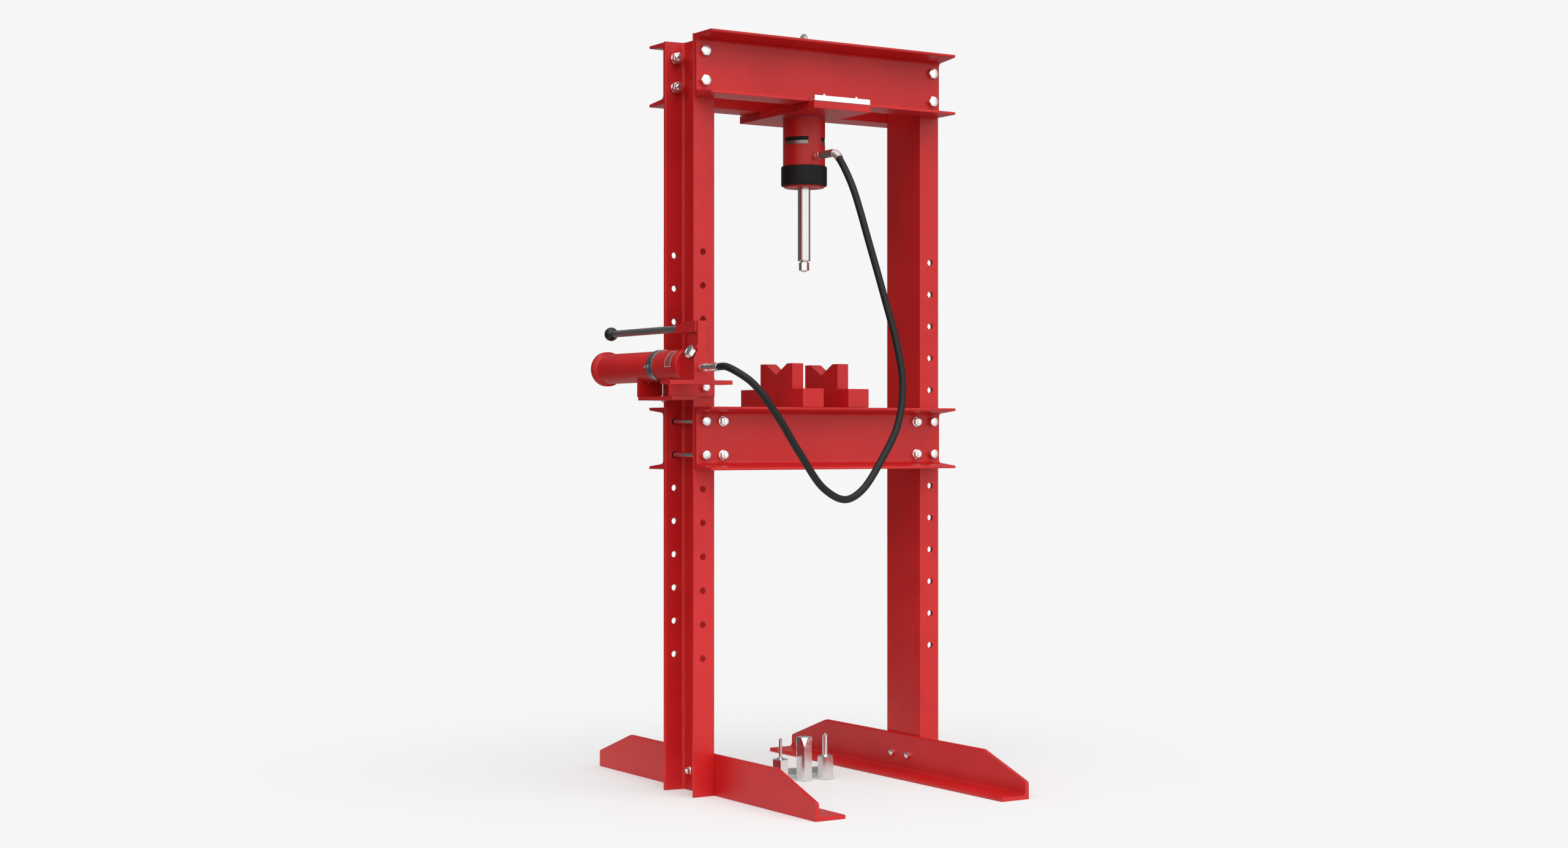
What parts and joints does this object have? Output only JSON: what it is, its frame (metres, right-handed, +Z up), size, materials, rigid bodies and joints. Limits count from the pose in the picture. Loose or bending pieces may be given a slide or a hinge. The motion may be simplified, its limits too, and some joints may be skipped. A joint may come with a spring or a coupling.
{
  "type": "hydraulic shop press",
  "caption": "H-frame hydraulic shop press with a sliding ram head, pinned work table, hand pump, hose and V-blocks.",
  "frame": {"origin": "on the floor, at the middle of the box around the press without its hose", "axes": "+X along the beams away from the pump, +Y from front to rear, +Z up"},
  "size_m": [0.8364, 1.018, 1.841],
  "materials": {
    "red_paint": "satin red enamel",
    "zinc_plate": "bright zinc plate",
    "chrome_rod": "polished hard chrome",
    "bare_steel": "machined steel",
    "bright_steel": "ground bright steel",
    "black_coating": "satin black",
    "black_plastic": "gloss black",
    "hose_rubber": "smooth matt rubber cover"
  },
  "bodies": {
    "frame": {"column_left": "red_paint", "foot_left": "red_paint", "column_right": "red_paint", "foot_right": "red_paint", "top_beam_front": "red_paint", "table_beam_front": "red_paint", "top_beam_rear": "red_paint", "table_beam_rear": "red_paint", "frame_bolt_left_front_lower": "zinc_plate", "frame_bolt_left_front_upper": "zinc_plate", "foot_bolt_left_front": "zinc_plate", "frame_bolt_left_rear_lower": "zinc_plate", "frame_bolt_left_rear_upper": "zinc_plate", "foot_bolt_left_rear": "zinc_plate", "tie_bolt_left_lower": "zinc_plate", "tie_bolt_left_upper": "zinc_plate", "frame_bolt_right_front_lower": "zinc_plate", "frame_bolt_right_front_upper": "zinc_plate", "foot_bolt_right_front": "zinc_plate", "frame_bolt_right_rear_lower": "zinc_plate", "frame_bolt_right_rear_upper": "zinc_plate", "foot_bolt_right_rear": "zinc_plate", "tie_bolt_right_lower": "zinc_plate", "tie_bolt_right_upper": "zinc_plate", "pump_bracket": "red_paint", "bracket_bolt_front": "zinc_plate", "bracket_bolt_rear": "zinc_plate", "oil_reservoir": "red_paint", "pump_body": "red_paint", "clamp_band": "bare_steel", "pump_hose_fitting": "zinc_plate", "hydraulic_hose": "hose_rubber"},
    "head": {"head_plate": "red_paint", "guide_bar_front": "bright_steel", "guide_bar_rear": "bright_steel", "cylinder_barrel": "red_paint", "cylinder_cap": "bare_steel", "retaining_ring": "bare_steel", "cylinder_collar": "black_coating", "rod_gland": "red_paint", "cylinder_elbow": "zinc_plate"},
    "ram": {"ram": "chrome_rod", "ram_tip": "bare_steel"},
    "lever": {"pump_lever": "red_paint", "lever_pin": "zinc_plate", "handle_bar": "bare_steel", "ball_grip": "black_plastic"},
    "plunger": {"pump_plunger": "chrome_rod"},
    "release_valve": {"release_valve": "zinc_plate"},
    "table_pin_left_lower": {"table_pin_left_lower": "zinc_plate"},
    "table_pin_left_upper": {"table_pin_left_upper": "zinc_plate"},
    "table_pin_right_lower": {"table_pin_right_lower": "zinc_plate"},
    "table_pin_right_upper": {"table_pin_right_upper": "zinc_plate"},
    "arbor_plate_left": {"arbor_plate_left": "red_paint"},
    "v_block_left": {"v_block_left": "red_paint"},
    "arbor_plate_right": {"arbor_plate_right": "red_paint"},
    "v_block_right": {"v_block_right": "red_paint"},
    "press_pin_thin": {"press_pin_thin": "bare_steel"},
    "press_pin_thick": {"press_pin_thick": "bare_steel"},
    "drift_punch": {"drift_punch": "bare_steel"}
  },
  "joints": [
    {"name": "head_slide", "type": "slide", "parent": "frame", "child": "head", "axis": [1, 0, 0], "range_m": [-0.1, 0.1], "deforming": ["hydraulic_hose"]},
    {"name": "ram_slide", "type": "slide", "parent": "head", "child": "ram", "axis": [0, 0, 1], "range_m": [0, 0.15]},
    {"name": "lever_hinge", "type": "hinge", "parent": "frame", "child": "lever", "pos_m": [-0.33485, -0.162, 1.104], "axis": [1, 0, 0], "range_deg": [0, 45]},
    {"name": "plunger_slide", "type": "slide", "parent": "frame", "child": "plunger", "axis": [0, 0, 1], "range_m": [0, 0.026]},
    {"name": "release_valve_turn", "type": "hinge", "parent": "frame", "child": "release_valve", "pos_m": [-0.34985, -0.166, 1.04165], "axis": [-0.8658, 0, 0.5004], "range_deg": [0, 90]},
    {"name": "table_pin_left_lower_pull", "type": "slide", "parent": "frame", "child": "table_pin_left_lower", "axis": [0, -1, 0], "range_m": [0, 0.19]},
    {"name": "table_pin_left_upper_pull", "type": "slide", "parent": "frame", "child": "table_pin_left_upper", "axis": [0, -1, 0], "range_m": [0, 0.19]},
    {"name": "table_pin_right_lower_pull", "type": "slide", "parent": "frame", "child": "table_pin_right_lower", "axis": [0, -1, 0], "range_m": [0, 0.19]},
    {"name": "table_pin_right_upper_pull", "type": "slide", "parent": "frame", "child": "table_pin_right_upper", "axis": [0, -1, 0], "range_m": [0, 0.19]},
    {"name": "arbor_plate_left_lift", "type": "slide", "parent": "frame", "child": "arbor_plate_left", "axis": [0, 0, 1], "range_m": [0, 0.1]},
    {"name": "v_block_left_lift", "type": "slide", "parent": "arbor_plate_left", "child": "v_block_left", "axis": [0, 0, 1], "range_m": [0, 0.08]},
    {"name": "arbor_plate_right_lift", "type": "slide", "parent": "frame", "child": "arbor_plate_right", "axis": [0, 0, 1], "range_m": [0, 0.1]},
    {"name": "v_block_right_lift", "type": "slide", "parent": "arbor_plate_right", "child": "v_block_right", "axis": [0, 0, 1], "range_m": [0, 0.08]},
    {"name": "press_pin_thin_lift", "type": "slide", "parent": "frame", "child": "press_pin_thin", "axis": [0, 0, 1], "range_m": [0, 0.1]},
    {"name": "press_pin_thick_lift", "type": "slide", "parent": "frame", "child": "press_pin_thick", "axis": [0, 0, 1], "range_m": [0, 0.1]},
    {"name": "drift_punch_lift", "type": "slide", "parent": "frame", "child": "drift_punch", "axis": [0, 0, 1], "range_m": [0, 0.1]}
  ],
  "couplings": [
    {"joint": "plunger_slide", "follows": "lever_hinge", "m_per_rad": 0.033}
  ]
}
